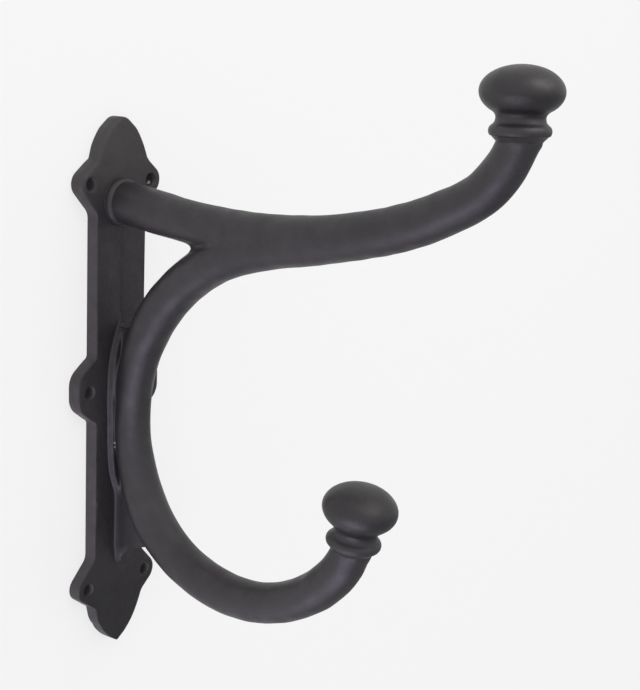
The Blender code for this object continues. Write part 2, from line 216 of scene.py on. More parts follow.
def smoothPath(stations, leadIn, leadOut, steps):
    # A smooth curve through (y, z, radius) stations, the one that the CAD's arms follow
    points = [np.array(station, float) for station in stations]
    lengths = [np.hypot(*(b - a)[:2]) for a, b in zip(points, points[1:])]
    slopes = [(b - a) / length for a, b, length in zip(points, points[1:], lengths)]
    tangents = [np.array(leadIn, float)]
    for i in range(1, len(slopes)):
        share = lengths[i - 1] / (lengths[i - 1] + lengths[i])
        tangents.append(slopes[i - 1] + (slopes[i] - slopes[i - 1]) * share)
    tangents.append(np.array(leadOut, float))
    path = []
    for i, length in enumerate(lengths):
        for t in np.arange(steps) / steps:
            ease = t * t * (3 - 2 * t)
            bend = tangents[i] * (t * (1 - t) ** 2) - tangents[i + 1] * (t * t * (1 - t))
            path.append(points[i] + (points[i + 1] - points[i]) * ease + bend * length)
    return np.array(path + [points[-1]])


def pathField(path, x, y, z):
    # Distance from a round bar that follows the path in the middle plane
    best = np.full(y.shape, 1e9)
    radius = np.zeros(y.shape)
    for (ay, az, ar), (by, bz, br) in zip(path, path[1:]):
        wy, wz = by - ay, bz - az
        t = np.clip(((y - ay) * wy + (z - az) * wz) / (wy * wy + wz * wz), 0, 1)
        gap = np.hypot(y - ay - wy * t, z - az - wz * t)
        closer = gap < best
        best = np.where(closer, gap, best)
        radius = np.where(closer, ar + (br - ar) * t, radius)
    return np.hypot(x, best) - radius


def lathe(name, profile, bead, lean, sides, wobble):
    # A (radius, height) profile turned about the finial's axis, with the casting's waves
    angles = 2 * math.pi * np.arange(sides) / sides
    rings = []
    for radius, height in profile:
        x = radius * np.cos(angles)
        across = radius * np.sin(angles)
        y = bead[0] + across * math.cos(lean) - height * math.sin(lean)
        z = bead[1] + across * math.sin(lean) + height * math.cos(lean)
        rings.append(np.stack([x, y, z], axis=1))
    points = np.concatenate(rings)
    heights = np.repeat([height for _, height in profile], sides)
    axisY = bead[0] - heights * math.sin(lean)
    axisZ = bead[1] + heights * math.cos(lean)
    outward = np.stack([points[:, 0], points[:, 1] - axisY, points[:, 2] - axisZ], axis=1)
    outward /= np.maximum(np.linalg.norm(outward, axis=1), 1e-6)[:, None]
    points += outward * (uneven(*points.T) * wobble)[:, None]
    faces = []
    for ring in range(len(profile) - 1):
        for i in range(sides):
            j = (i + 1) % sides
            a, b = ring * sides, (ring + 1) * sides
            faces.append((a + i, a + j, b + j, b + i))
    faces.append(tuple(range(sides))[::-1])
    faces.append(tuple((len(profile) - 1) * sides + i for i in range(sides)))
    return newObject(name, points, faces, sharpAngle=finial["sharpAngle"])


# Materials


def newMaterial(name):
    material = bpy.data.materials.new(name)
    material.use_nodes = True
    material.node_tree.nodes.clear()
    return material, material.node_tree


def node(tree, kind, **settings):
    made = tree.nodes.new(kind)
    for key, value in settings.items():
        setattr(made, key, value)
    return made


def setInputs(made, **values):
    for key, value in values.items():
        made.inputs[key].default_value = value


def noiseNode(tree, place, scale, detail, roughness):
    made = node(tree, "ShaderNodeTexNoise", noise_dimensions="3D")
    setInputs(made, Scale=scale, Detail=detail, Roughness=roughness)
    tree.links.new(place.outputs["Object"], made.inputs["Vector"])
    return made.outputs["Fac"]


def ramp(tree, source, low, high, start=0.0, end=1.0):
    made = node(tree, "ShaderNodeMapRange", clamp=True)
    for key, value in zip(("From Min", "From Max", "To Min", "To Max"), (low, high, start, end)):
        made.inputs[key].default_value = value
    tree.links.new(source, made.inputs["Value"])
    return made.outputs["Result"]


def calc(tree, operation, *values):
    made = node(tree, "ShaderNodeMath", operation=operation)
    for socket, value in zip(made.inputs, values):
        if isinstance(value, (int, float)):
            socket.default_value = value
        else:
            tree.links.new(value, socket)
    return made.outputs[0]


def mixed(tree, share, first, second):
    # A mix of two colours, each of them plain or from another node
    made = node(tree, "ShaderNodeMix", data_type="RGBA")
    tree.links.new(share, made.inputs["Factor"])
    for key, colour in (("A", first), ("B", second)):
        if isinstance(colour, tuple):
            made.inputs[key].default_value = (*colour, 1)
        else:
            tree.links.new(colour, made.inputs[key])
    return made.outputs["Result"]


ironSurface = {
    "cloudScale": 28,
    "blotchShare": 0.55, "cloudShare": 0.45,
    "colourRange": (0.36, 0.64),
    "glossRange": (0.35, 0.65),
    "grainRange": (0.3, 0.7), "grainGloss": (-0.04, 0.04),
    "pitPlaceScale": 90, "pitPlaces": (0.52, 0.62),
    "pitFloor": 0.4,  # share of a pit's radius that is at its full depth
    "spotMiddle": 0.4,  # share of a spot's radius with its full colour, for bare chips and painted glints alike
}


def blackIron(name, look):
    # Satin black over sand-cast iron: grain, small pits, uneven colour and gloss
    material, tree = newMaterial(name)
    place = node(tree, "ShaderNodeTexCoord")
    shader = node(tree, "ShaderNodeBsdfPrincipled")
    output = node(tree, "ShaderNodeOutputMaterial")
    tree.links.new(shader.outputs["BSDF"], output.inputs["Surface"])
    setInputs(shader, Metallic=0, IOR=look["ior"])
    shader.inputs["Specular Tint"].default_value = (*look["sheen"], 1)

    surface = ironSurface
    grain = noiseNode(tree, place, look["grainScale"], detail=3, roughness=0.6)
    blotch = noiseNode(tree, place, look["blotchScale"], detail=3, roughness=0.5)
    cloud = noiseNode(tree, place, surface["cloudScale"], detail=2, roughness=0.5)
    pitNoise = node(tree, "ShaderNodeTexVoronoi", feature="F1", distance="EUCLIDEAN")
    setInputs(pitNoise, Scale=look["pitScale"], Randomness=1.0)
    tree.links.new(place.outputs["Object"], pitNoise.inputs["Vector"])
    pitPlace = noiseNode(tree, place, surface["pitPlaceScale"], detail=2, roughness=0.5)
    pitSizes = look["pitSize"], look["pitSize"] * surface["pitFloor"]
    pitMask = calc(
        tree, "MULTIPLY",
        ramp(tree, pitNoise.outputs["Distance"], *pitSizes),
        ramp(tree, pitPlace, *surface["pitPlaces"]),
    )

    patchy = calc(
        tree, "ADD",
        calc(tree, "MULTIPLY", blotch, surface["blotchShare"]),
        calc(tree, "MULTIPLY", cloud, surface["cloudShare"]),
    )
    tint = mixed(tree, ramp(tree, patchy, *surface["colourRange"]), look["dark"], look["light"])
    parts = node(tree, "ShaderNodeSeparateXYZ")
    tree.links.new(place.outputs["Object"], parts.inputs["Vector"])
    # Painted light and shade: bands along Z paint the plate's front lighter towards its top and
    # darker towards its bottom
    for low, high, paintedTone in look.get("paintedLightBands", ()):
        tint = mixed(tree, ramp(tree, parts.outputs["Z"], low * mm, high * mm), tint, paintedTone)
    if "mouth" in look:
        # Painted shade: a hole's wall is painted darker further in from its mouth, where less
        # light reaches
        depth = ramp(tree, parts.outputs["Y"], look["mouth"] * mm, look["dim"] * mm)
        tint = mixed(tree, depth, tint, look["deep"])
    # Small spots of colour: bare chips in the paint, and in a hole a painted glint, a painted
    # reflection of the wall
    for x, y, z, radius in look.get("chipAndGlintSpots", ()):
        far = node(tree, "ShaderNodeVectorMath", operation="DISTANCE")
        tree.links.new(place.outputs["Object"], far.inputs[0])
        far.inputs[1].default_value = (x * mm, y * mm, z * mm)
        spot = ramp(tree, far.outputs["Value"], radius * mm, radius * surface["spotMiddle"] * mm)
        tint = mixed(tree, spot, tint, look["chipAndGlintColour"])
    tree.links.new(tint, shader.inputs["Base Color"])

    gloss = calc(
        tree, "ADD",
        ramp(tree, patchy, *surface["glossRange"], *reversed(look["rough"])),
        ramp(tree, grain, *surface["grainRange"], *surface["grainGloss"]),
    )
    tree.links.new(gloss, shader.inputs["Roughness"])

    height = calc(
        tree, "ADD",
        calc(tree, "MULTIPLY", grain, look["grainHeight"]),
        calc(tree, "MULTIPLY", blotch, look["blotchHeight"]),
    )
    height = calc(tree, "SUBTRACT", height, calc(tree, "MULTIPLY", pitMask, look["pitDepth"]))
    bump = node(tree, "ShaderNodeBump")
    setInputs(bump, Strength=1.0, Distance=1.0)
    tree.links.new(height, bump.inputs["Height"])
    tree.links.new(bump.outputs["Normal"], shader.inputs["Normal"])
    return material


# Colours are linear, scales are per metre, and heights and depths are in metres. The places of
# the painted light bands, chips, painted glints and the hole's painted shade (mouth, dim) are in
# millimetres.

plateLook = {
    "dark": (0.0145, 0.0133, 0.0148),
    "light": (0.0220, 0.0203, 0.0220),
    "sheen": (1.0, 0.94, 1.0),
    "ior": 1.55,
    "rough": (0.50, 0.62),
    "grainScale": 900, "grainHeight": 0.00012,
    "blotchScale": 160, "blotchHeight": 0.00035,
    "pitScale": 260, "pitSize": 0.16, "pitDepth": 0.00010,
    # Painted light at the top of the plate's front and painted shade at its bottom
    "paintedLightBands": [(84, 128, (0.034, 0.0305, 0.0305)), (-84, -112, (0.0040, 0.0036, 0.0040))],
    "chipAndGlintColour": (0.30, 0.29, 0.28),
    "chipAndGlintSpots": [(0.9, -9.5, 33.6, 0.9), (-6.1, -9.8, -28.4, 0.8), (-6.0, -9.8, -30.6, 0.6)],
}
# A lit copy of the plate's paint: its sideways faces below the top lobe are painted lighter,
# painted light from the left
litSideLook = {
    **plateLook,
    "dark": (0.0240, 0.0225, 0.0235),
    "light": (0.0340, 0.0318, 0.0330),
    "paintedLightBands": [],
    "chipAndGlintSpots": [],
}
armLook = {
    "dark": (0.0130, 0.0120, 0.0130),
    "light": (0.0205, 0.0190, 0.0205),
    "sheen": (1.0, 0.94, 1.0),
    "ior": 1.55,
    "rough": (0.44, 0.54),
    "grainScale": 900, "grainHeight": 0.00008,
    "blotchScale": 130, "blotchHeight": 0.00025,
    "pitScale": 240, "pitSize": 0.14, "pitDepth": 0.00008,
}
knobLook = {
    **armLook,
    "dark": (0.0060, 0.0055, 0.0062),
    "light": (0.0105, 0.0096, 0.0105),
    "sheen": (1.0, 0.94, 0.98),
    "ior": 1.56,
    "rough": (0.42, 0.52),
    "grainHeight": 0.00007,
    "blotchHeight": 0.00022,
}
holeLook = {
    # The hole walls' lighter grey is partly uncoated metal and partly painted light for their lit
    # side
    "dark": (0.065, 0.061, 0.060),
    "light": (0.125, 0.118, 0.114),
    # Painted shade inside the holes, from the mouth to dim
    "mouth": -6.6, "dim": -3.2, "deep": (0.012, 0.011, 0.011),
    # A painted glint low in the top right hole: a painted reflection of the white wall
    "chipAndGlintColour": (0.9, 0.89, 0.88),
    "chipAndGlintSpots": [(24.2, -3.0, 104.0, 1.4)],
    "sheen": (1.0, 0.96, 0.98),
    "ior": 1.5,
    "rough": (0.65, 0.78),
    "grainScale": 900, "grainHeight": 0.00015,
    "blotchScale": 260, "blotchHeight": 0.0003,
    "pitScale": 300, "pitSize": 0.2, "pitDepth": 0.00012,
}
plateIron = blackIron("plateIron", plateLook)
litSideIron = blackIron("litSideIron", litSideLook)
armIron = blackIron("armIron", armLook)
knobIron = blackIron("knobIron", knobLook)
holeIron = blackIron("holeIron", holeLook)
print("materials made")


# Back plate

plate = {
    "thickness": 7.0,
    "barHalfWidth": 17.3,
    "barFillet": 8.0,
    "holeRadius": 3.5,
    "holeOffset": 21.2,
    "rowHeight": 106.0,
    "middleRowHeight": 0.5,
    "earRadius": 7.1,
    "earUpperSlope": 52,
    "earLowerSlope": 43,
    "middleEarMargin": 8.0,
    "middleEarCrown": 8.0,
    "middleEarFoot": 16.8,
    "middleEarRound": 10.0,
    "middleEarFillet": 3.0,
    "waistFillet": 1.5,
    "lobeRadius": 35.5,
    "topLobeRise": 34.6,
    "topLobeRound": 9.0,
    "bottomLobeDrop": 35.2,
    "bottomLobeRound": 0.8,
    "edgeRound": 1.0,
    "softEdgeRound": 3.4,
    "softHeights": (94, 104), "softAcross": (3, -4),
    "holeEdge": 0.35,
    "holeTaper": 0.9,
    "seamDepth": 0.36,
    "seamSides": (5.0, 1.1),
    "seamTop": (94, 82),
    "seamMargin": 3,
    "notch": (-16.9, -60.0, 0.7), "notchSize": (0.9, 1.3),
    "nickHeight": -129.7, "nickDepth": 0.4, "nickSize": 1.3,
    # How far the casting lies to the right of the drawing: its left side, and what the right adds
    "barShift": (0.4, 0.4), "barShiftSize": 1.5,
    "topShift": (0.35, 0.55), "topShiftHeights": (104, 126),
    "bottomShift": (0.7, 0.2), "bottomShiftHeights": (-108, -116),
    "shiftAcross": (-6, 6),
    "wobble": 0.16,
    "wobbleMargin": 2,
    # Below this height the plate's sideways faces take the painted lit copy of its paint
    "litSideBandTop": 96,
    # The mesh: where its rings and its grid lie, and what counts as on an edge
    "arcStep": 5,
    "evenGaps": (0.35, 2.8), "curvedGaps": (0.6, 9),
    "outlineStep": 1.5,
    "holeSides": 40,
    "edgeRings": (0.08, 0.25, 0.55, 0.95, 1.4, 1.95, 2.6, 3.4),
    "holeRings": (0.07, 0.16, 0.35, 0.8, 1.3),
    "wallRings": (1, 0.5, 0),
    "grid": 2.2,
    "gridAcross": (-30.8, 31), "gridHeights": (-143, 142),
    "seamColumns": (-1.5, -1, -0.5, 0.5, 1, 1.5),
    "gridMargin": 4.2, "gridHoleMargin": 1.9,
    "ringSlack": 0.03, "holeSlack": 0.01, "holeInside": 0.99,
    "weld": 0.01,
    "sharpAngle": 38,
    "sideways": 0.5,
}
holeCentres = [
    (side * plate["holeOffset"], height)
    for height in (plate["rowHeight"], plate["middleRowHeight"], -plate["rowHeight"])
    for side in (-1, 1)
]


def onCircle(centre, spoke, angle):
    cos, sin = math.cos(angle), math.sin(angle)
    return centre + Vector((spoke.x * cos - spoke.y * sin, spoke.x * sin + spoke.y * cos))


def cornerArc(before, corner, after, radius):
    toBefore = before - corner
    toAfter = after - corner
    half = toBefore.angle(toAfter) / 2
    reach = min(radius / math.tan(half), toBefore.length / 2, toAfter.length / 2)
    radius = reach * math.tan(half)
    middle = (toBefore.normalized() + toAfter.normalized()).normalized()
    centre = corner + middle * (radius / math.sin(half))
    start = corner + toBefore.normalized() * reach - centre
    end = corner + toAfter.normalized() * reach - centre
    turn = -start.angle_signed(end)
    count = max(2, math.ceil(abs(turn) / math.radians(plate["arcStep"])))
    return [onCircle(centre, start, turn * i / count) for i in range(count + 1)]


def roundedOutline(corners):
    outline = []
    for i, (corner, radius) in enumerate(corners):
        if radius:
            before, after = corners[i - 1][0], corners[(i + 1) % len(corners)][0]
            outline += cornerArc(before, corner, after, radius)
        else:
            outline.append(corner)
    return outline


def bothSides(rightSide):
    leftSide = [(Vector((-p.x, p.y)), radius) for p, radius in reversed(rightSide[1:-1])]
    return rightSide + leftSide


def lobeArc(start, end, steps=5):
    chord = end - start
    rise = math.sqrt(plate["lobeRadius"] ** 2 - (chord.length / 2) ** 2)
    centre = (start + end) / 2 + Vector((-chord.y, chord.x)).normalized() * rise
    spoke = start - centre
    turn = -spoke.angle_signed(end - centre)
    return [onCircle(centre, spoke, turn * i / steps) for i in range(1, steps)]


def earCorners():
    hole = Vector((plate["holeOffset"], plate["rowHeight"]))
    steep, shallow = math.radians(plate["earUpperSlope"]), math.radians(plate["earLowerSlope"])
    upper = Vector((math.cos(steep), math.sin(steep)))
    lower = Vector((math.cos(shallow), -math.sin(shallow)))
    upperReach = upper.dot(hole) + plate["earRadius"]
    lowerReach = lower.dot(hole) + plate["earRadius"]
    across = upper.x * lower.y - upper.y * lower.x
    tip = Vector((
        (upperReach * lower.y - lowerReach * upper.y) / across,
        (upper.x * lowerReach - lower.x * upperReach) / across,
    ))
    bar = plate["barHalfWidth"]
    foot = Vector((bar, (lowerReach - lower.x * bar) / lower.y))
    waist = Vector((bar, (upperReach - upper.x * bar) / upper.y))
    return [(foot, plate["barFillet"]), (tip, plate["earRadius"]), (waist, plate["waistFillet"])]


def plateOutline():
    topEar = earCorners()
    bottomEar = [(Vector((p.x, -p.y)), radius) for p, radius in reversed(topEar)]
    topTip = Vector((0, plate["rowHeight"] + plate["topLobeRise"]))
    bottomTip = Vector((0, -plate["rowHeight"] - plate["bottomLobeDrop"]))
    topLobe = [(p, 0) for p in lobeArc(topEar[-1][0], topTip)[:-1]]
    bottomLobe = [(p, 0) for p in lobeArc(bottomTip, bottomEar[0][0])]
    reach = plate["holeOffset"] + plate["middleEarMargin"]
    middle, bar = plate["middleRowHeight"], plate["barHalfWidth"]
    middleEar = [
        (Vector((bar, middle - plate["middleEarFoot"])), plate["middleEarFillet"]),
        (Vector((reach, middle - plate["middleEarCrown"])), plate["middleEarRound"]),
        (Vector((reach, middle + plate["middleEarCrown"])), plate["middleEarRound"]),
        (Vector((bar, middle + plate["middleEarFoot"])), plate["middleEarFillet"]),
    ]
    side = [(bottomTip, plate["bottomLobeRound"])] + bottomLobe + bottomEar + middleEar
    corners = bothSides(side + topEar + topLobe + [(topTip, plate["topLobeRound"])])
    return np.array([tuple(p) for p in roundedOutline(corners)])


def evenOutline(outline, step):
    # The same outline with its long stretches divided
    points = []
    for a, b in zip(outline, np.roll(outline, -1, axis=0)):
        count = max(1, math.ceil(np.hypot(*(b - a)) / step))
        points += [a + (b - a) * i / count for i in range(count)]
    return np.array(points)


def curvedOutline(outline):
    # Rounds the lobes, whose arcs come in few points, by adding points where the gaps are even
    least, most = plate["evenGaps"]
    shortest, longest = plate["curvedGaps"]
    points = [tuple(p) for p in outline]
    for _ in range(2):
        closer = []
        for i, here in enumerate(points):
            before, after = points[i - 1], points[(i + 1) % len(points)]
            beyond = points[(i + 2) % len(points)]
            gap = math.dist(here, after)
            even = least < math.dist(before, here) / max(gap, 1e-9) < most
            even = even and least < math.dist(after, beyond) / max(gap, 1e-9) < most
            closer.append(here)
            if shortest < gap < longest and even:
                closer.append(tuple(
                    (9 * (here[k] + after[k]) - before[k] - beyond[k]) / 16 for k in (0, 1)
                ))
        points = closer
    return np.array(points)


def castOutline(outline):
    # The casting's small departures from the drawn outline, and a nick in its bottom lobe
    x, z = outline.T
    right = rampUp(*plate["shiftAcross"], x)

    def shift(name):
        onLeft, added = plate[name]
        return onLeft + added * right

    fromBar = (np.abs(x) - plate["barHalfWidth"]) / plate["barShiftSize"]
    x = x + shift("barShift") * np.exp(-fromBar ** 2)
    x = x + shift("topShift") * rampUp(*plate["topShiftHeights"], z)
    x = x + shift("bottomShift") * rampUp(*plate["bottomShiftHeights"], z)
    fromNick = (z - plate["nickHeight"]) / plate["nickSize"]
    x = x + plate["nickDepth"] * np.exp(-fromNick ** 2) * (x < 0)
    return np.stack([x, z], axis=1)


def plateFront(x, z, edge):
    # How far the plate's front stands out at a point, from its distance to the outline. The
    # edge is softer at the top left, where the mould was worn.
    soft = rampUp(*plate["softHeights"], z) * rampUp(*plate["softAcross"], x)
    rounding = plate["edgeRound"] + (plate["softEdgeRound"] - plate["edgeRound"]) * soft
    sunk = rounding - np.sqrt(np.maximum(rounding**2 - np.maximum(rounding - edge, 0) ** 2, 0))
    hole = np.full(x.shape, 1e9)
    for hx, hz in holeCentres:
        hole = np.minimum(hole, np.hypot(x - hx, z - hz) - plate["holeRadius"])
    rim = plate["holeEdge"]
    sunk += rim - np.sqrt(np.maximum(rim**2 - np.clip(rim - hole, 0, rim) ** 2, 0))
    # A shallow seam down the middle, gentle on its left and steep on its right
    across = x / np.where(x < 0, *plate["seamSides"])
    seam = plate["seamDepth"] * np.exp(-across**2) * np.clip(edge / plate["seamMargin"], 0, 1)
    sunk += seam * rampUp(*plate["seamTop"], z)
    nx, nz, depth = plate["notch"]
    width, height = plate["notchSize"]
    sunk += depth * np.exp(-((x - nx) / width) ** 2 - ((z - nz) / height) ** 2)
    wobble = plate["wobble"] * uneven(x, 0 * x, z) * np.clip(edge / plate["wobbleMargin"], 0, 1)
    return plate["thickness"] - sunk + wobble


def makePlate():
    outline = castOutline(evenOutline(curvedOutline(plateOutline()), plate["outlineStep"]))
    count, sides = len(outline), plate["holeSides"]
    angles = 2 * math.pi * np.arange(sides) / sides
    circle = np.stack([np.cos(angles), np.sin(angles)], axis=1)
    holes = [np.array(centre) + circle * plate["holeRadius"] for centre in holeCentres]

    # Front: the outline, rings near it and round the holes, and a grid between them
    spots = []
    tangent = np.roll(outline, -1, axis=0) - np.roll(outline, 1, axis=0)
    inward = np.stack([-tangent[:, 1], tangent[:, 0]], axis=1)
    inward /= np.linalg.norm(inward, axis=1)[:, None]
    for depth in plate["edgeRings"]:
        ring = outline + inward * depth
        clear = np.abs(outlineField(outline, *ring.T) + depth) < plate["ringSlack"]
        spots.append(ring[clear])
    for centre in holeCentres:
        for depth in plate["holeRings"]:
            spots.append(np.array(centre) + circle * (plate["holeRadius"] + depth))
    xs = np.concatenate([np.arange(*plate["gridAcross"], plate["grid"]), plate["seamColumns"]])
    zs = np.arange(*plate["gridHeights"], plate["grid"])
    gridX, gridZ = np.meshgrid(np.unique(xs), zs, indexing="ij")
    grid = np.stack([gridX.ravel(), gridZ.ravel()], axis=1)
    clear = outlineField(outline, *grid.T) < -plate["gridMargin"]
    for centre in holeCentres:
        clear &= np.hypot(*(grid - centre).T) > plate["holeRadius"] + plate["gridHoleMargin"]
    spots.append(grid[clear])
    loose = np.concatenate(spots)
    inHole = np.zeros(len(loose), bool)
    for centre in holeCentres:
        inHole |= np.hypot(*(loose - centre).T) < plate["holeRadius"] + plate["holeSlack"]
    loose = loose[~inHole]

    rims = np.concatenate([outline, *holes])
    edges = [(i, (i + 1) % count) for i in range(count)]
    for h in range(len(holes)):
        first = count + sides * h
        edges += [(first + i, first + (i + 1) % sides) for i in range(sides)]

    def fill(points, holeRadius):
        # Triangles over the points, inside the outline and outside the holes
        made, _, triangles, *_ = geometry.delaunay_2d_cdt(
            [Vector(p) for p in points], edges, [], 0, 1e-4
        )
        made = np.array([tuple(p) for p in made])
        triangles = np.array(triangles)
        middle = made[triangles].mean(axis=1)
        keep = outlineField(outline, *middle.T) < 0
        for centre in holeCentres:
            keep &= np.hypot(*(middle - centre).T) > holeRadius * plate["holeInside"]
        return made, triangles[keep]

    flat, triangles = fill(np.concatenate([rims, loose]), plate["holeRadius"])
    edgeGap = np.maximum(-outlineField(outline, *flat.T), 0)
    front = np.stack([flat[:, 0], -plateFront(*flat.T, edgeGap), flat[:, 1]], axis=1)
    deepRims = rims.copy()
    for h, centre in enumerate(holeCentres):
        part = slice(count + sides * h, count + sides * (h + 1))
        deepRims[part] = centre + (rims[part] - centre) * plate["holeTaper"]
    backFlat, backTriangles = fill(
        np.concatenate([deepRims, grid[clear]]), plate["holeRadius"] * plate["holeTaper"]
    )
    back = np.stack([backFlat[:, 0], 0 * backFlat[:, 0], backFlat[:, 1]], axis=1)

    # Sides: rings run back to the wall, and each hole narrows a little on the way
    points = [front, back]
    faces = [tuple(t) for t in triangles] + [tuple(t[::-1] + len(front)) for t in backTriangles]
    start = len(front) + len(back)
    rimFront = plateFront(*rims.T, np.maximum(-outlineField(outline, *rims.T), 0))
    loops = [(0, count)] + [(count + sides * h, sides) for h in range(len(holes))]
    for share in plate["wallRings"]:
        ring = deepRims + (rims - deepRims) * share
        points.append(np.stack([ring[:, 0], -rimFront * share, ring[:, 1]], axis=1))
    for first, size in loops:
        for step in range(len(plate["wallRings"]) - 1):
            a, b = start + step * len(rims) + first, start + (step + 1) * len(rims) + first
            for i in range(size):
                j = (i + 1) % size
                faces.append((a + i, a + j, b + j, b + i))
    obj = newObject("backPlate", np.concatenate(points), faces)
    bm = bmesh.new()
    bm.from_mesh(obj.data)
    bmesh.ops.remove_doubles(bm, verts=bm.verts, dist=plate["weld"] * mm)
    bmesh.ops.recalc_face_normals(bm, faces=bm.faces)
    bm.to_mesh(obj.data)
    bm.free()
    obj.data.shade_smooth()
    obj.data.set_sharp_from_angle(angle=math.radians(plate["sharpAngle"]))
    finish(obj, plateIron, "back_plate", slot="plate")
    obj.data.materials.append(holeIron)
    obj.data.materials.append(litSideIron)
    for face in obj.data.polygons:
        x, z = face.center.x / mm, face.center.z / mm
        reach = min(math.hypot(x - hx, z - hz) for hx, hz in holeCentres)
        facesSideways = abs(face.normal.y) < plate["sideways"]
        # Hole walls take the hole paint, and sideways faces below the top lobe the painted lit
        # copy
        if reach < plate["holeRadius"] + plate["holeSlack"] and facesSideways:
            face.material_index = 1
        elif facesSideways and z < plate["litSideBandTop"]:
            face.material_index = 2


makePlate()


# Arms: two round bars in one casting, with a soft crotch where the lower one leaves the upper

arms = {
    "rootHeight": 96.2,
    "rootRadius": 10.8,
    "rootEnds": (-4, 0.3),
    "upperReach": 222.55,
    "upperRise": 51.3,
    "upperLean": -1.0,
    # Share of the arm's reach, share of its rise, radius
    "upperStations": [
        (0.1058, -0.052, 10.8), (0.2160, -0.105, 10.4), (0.3375, -0.129, 10.4),
        (0.4572, -0.122, 10.45), (0.5657, -0.076, 10.5), (0.6661, 0.002, 10.6),
        (0.7664, 0.123, 10.4), (0.8560, 0.286, 9.9), (0.9330, 0.486, 9.45),
        (0.9748, 0.698, 9.35), (0.9882, 0.798, 9.1), (0.9968, 0.885, 9.15),
    ],
    "upperEndLean": 18.0,
    "lowerReach": 150.9,
    "lowerDrop": 143.1,
    "lowerLean": 9.5,
    "curlDepth": 45.8,
    "forkStart": (158.0, 10.4),
    # Gap from the plate, depth below the root, radius
    "lowerStations": [
        (112.0, 6.4, 10.5), (81.3, 12.8, 10.5), (56.7, 21.0, 10.5), (28.3, 40.1, 10.65),
        (13.1, 58.3, 10.7), (4.8, 78.3, 9.7), (0.8, 105.2, 9.0), (3.0, 134.2, 9.6),
    ],
    # Share of the arm's reach, share of the curl's depth, radius
    "curlStations": [
        (0.1534, 0.360, 10.6), (0.2716, 0.747, 10.35), (0.4462, 0.978, 10.3),
        (0.6049, 1.007, 10.15), (0.7537, 0.873, 9.95), (0.8818, 0.612, 10.0),
        (0.9688, 0.277, 9.8), (0.9874, 0.138, 9.5),
    ],
    "flare": 9.7,
    "seatDrop": 3.3,
    "seatOverlap": 0.4, "endReach": 26,
    "wallGap": 4.0,
    "crotchBlend": 7.2, "crotchFrom": (-135, -75),
    "sideBlend": 0.8, "sideFrom": (2, 7), "sideShare": 0.85,
    "wobble": 0.14,
    "box": ((-13, -245, -105), (13, 0, 162)),
    "step": 1.2,
    "pathSteps": 7,
}


def fromPlate(distance, height):
    # The Y and Z of a point this far in front of the plate
    return -plate["thickness"] - distance, height


def finialWay(lean):
    # The Y and Z of a finial's upward direction
    return -math.sin(math.radians(lean)), math.cos(math.radians(lean))


upperBead = fromPlate(arms["upperReach"], arms["rootHeight"] + arms["upperRise"])
lowerBead = fromPlate(arms["lowerReach"], arms["rootHeight"] - arms["lowerDrop"])


def armEnd(bead, lean):
    # The last station of an arm, under its bead
    way = finialWay(lean)
    return bead[0] - way[0] * arms["seatDrop"], bead[1] - way[1] * arms["seatDrop"], arms["flare"]


def upperPath():
    root = arms["rootHeight"]
    stations = [(*fromPlate(out, root), arms["rootRadius"]) for out in arms["rootEnds"]]
    for out, up, radius in arms["upperStations"]:
        place = fromPlate(out * arms["upperReach"], root + up * arms["upperRise"])
        stations.append((*place, radius))
    stations.append(armEnd(upperBead, arms["upperLean"]))
    leadOut = (*finialWay(arms["upperEndLean"]), 0)
    return smoothPath(stations, (-1, 0, 0), leadOut, arms["pathSteps"])


def lowerPath(upper):
    root = arms["rootHeight"]
    distance, radius = arms["forkStart"]
    forkY = fromPlate(distance, 0)[0]
    forkZ = np.interp(-forkY, -upper[:, 0], upper[:, 1])
    stations = [(forkY, forkZ, radius)]
    for gap, depth, radius in arms["lowerStations"]:
        stations.append((*fromPlate(gap + radius, root - depth), radius))
    for out, down, radius in arms["curlStations"]:
        depth = arms["lowerDrop"] + down * arms["curlDepth"]
        stations.append((*fromPlate(out * arms["lowerReach"], root - depth), radius))
    stations.append(armEnd(lowerBead, arms["lowerLean"]))
    leadIn = np.array(stations[1]) - np.array(stations[0])
    leadIn = leadIn / np.hypot(*leadIn[:2])
    return smoothPath(stations, leadIn, (*finialWay(arms["lowerLean"]), 0), arms["pathSteps"])


upperLine = upperPath()
lowerLine = lowerPath(upperLine)


def cutAt(value, bead, lean, y, z):
    # Ends an arm flat under its collar
    wayY, wayZ = finialWay(lean)
    above = (y - bead[0]) * wayY + (z - bead[1]) * wayZ + arms["seatDrop"] - arms["seatOverlap"]
    near = np.hypot(y - bead[0], z - bead[1]) < arms["endReach"]
    return np.where(near, np.maximum(value, above), value)


def armsField(x, y, z):
    upper = cutAt(pathField(upperLine, x, y, z), upperBead, arms["upperLean"], y, z)
    lower = cutAt(pathField(lowerLine, x, y, z), lowerBead, arms["lowerLean"], y, z)
    # Wide in the crotch and narrow along the flanks, where a crease shows
    flank = arms["sideShare"] * rampUp(*arms["sideFrom"], np.abs(x))
    crotch = rampUp(*arms["crotchFrom"], y) * (1 - flank)
    width = arms["sideBlend"] + (arms["crotchBlend"] - arms["sideBlend"]) * crotch
    both = blended(upper, lower, width)
    both = both + arms["wobble"] * uneven(x, y, z)
    return np.maximum(both, y + arms["wallGap"])


finish(
    skin("arms", armsField, *arms["box"], arms["step"]),
    armIron, "upper_arm", "lower_arm", slot="arms",
)


# Foot on the plate and the web that carries the lower arm

